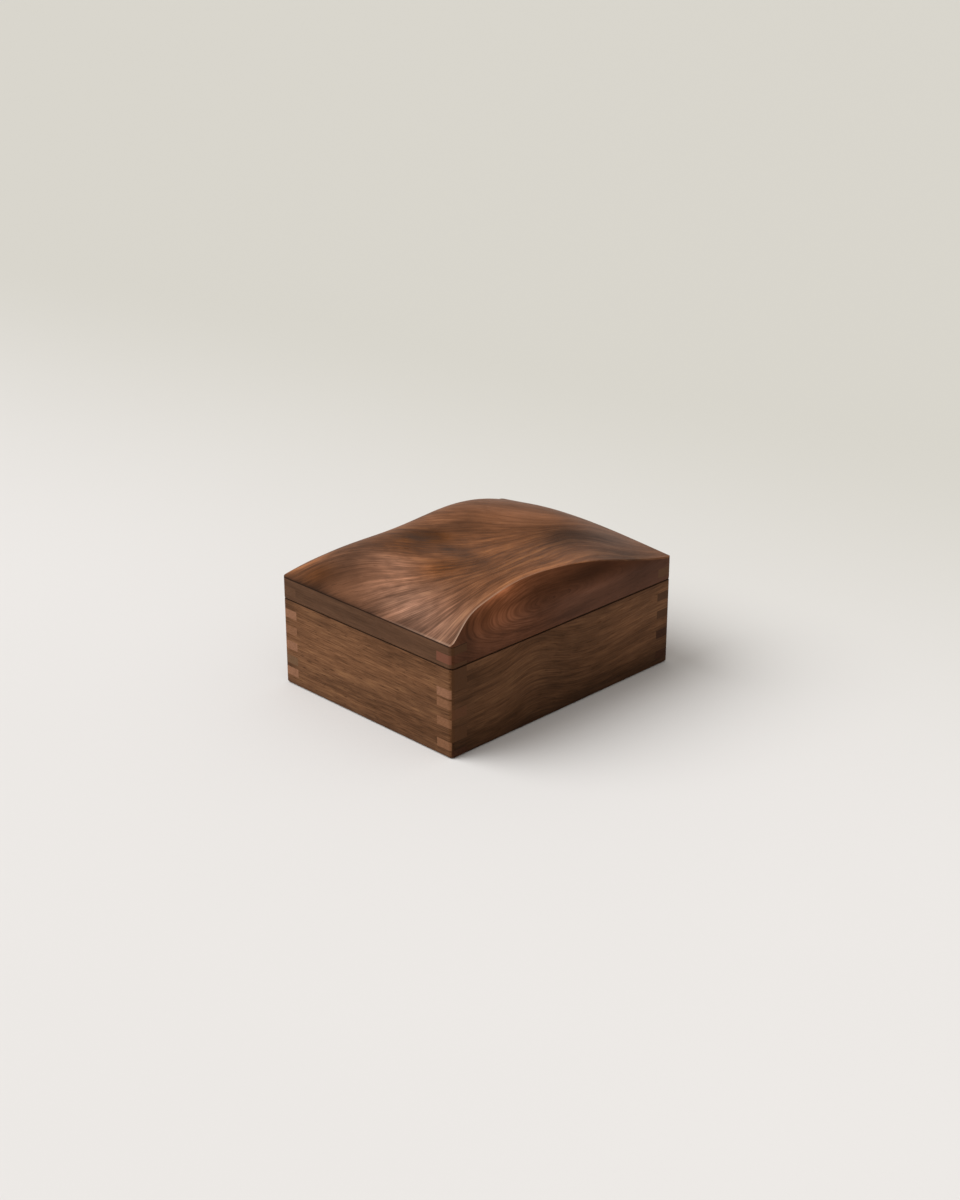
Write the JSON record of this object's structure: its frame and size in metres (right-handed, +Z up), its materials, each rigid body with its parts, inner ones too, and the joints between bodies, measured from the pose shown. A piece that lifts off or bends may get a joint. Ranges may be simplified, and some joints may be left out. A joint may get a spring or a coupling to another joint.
{
  "type": "keepsake box",
  "caption": "Rectangular walnut keepsake box with finger-jointed corners and a carved, hinged lid that opens from the front.",
  "frame": {"origin": "middle of the whole footprint, hinge barrels included, on the surface that the box stands on", "axes": "+X along the long side to the right seen from the front, +Y to the back where the hinges are, +Z up"},
  "size_m": [0.203, 0.1598, 0.0978],
  "materials": {
    "walnut_case": "hand-rubbed oil, satin",
    "walnut_lid_frame": "hand-rubbed oil, satin",
    "walnut_crown": "carved, sanded and oiled, satin",
    "brass": "brushed, unlacquered"
  },
  "bodies": {
    "case": {"left_wall": "walnut_case", "right_wall": "walnut_case", "front_wall": "walnut_case", "back_wall": "walnut_case", "bottom_panel": "walnut_case", "hinge_case_leaf_left": "brass", "hinge_case_leaf_right": "brass", "hinge_pin_left": "brass", "hinge_pin_right": "brass"},
    "lid": {"lid_left_rail": "walnut_lid_frame", "lid_right_rail": "walnut_lid_frame", "lid_front_rail": "walnut_lid_frame", "lid_back_rail": "walnut_lid_frame", "lid_top_panel": "walnut_crown", "hinge_lid_leaf_left": "brass", "hinge_lid_leaf_right": "brass"}
  },
  "joints": [
    {"name": "lid_hinge", "type": "hinge", "parent": "case", "child": "lid", "pos_m": [0, 0.07767, 0.06045], "axis": [-1, 0, 0], "range_deg": [0, 95]}
  ]
}
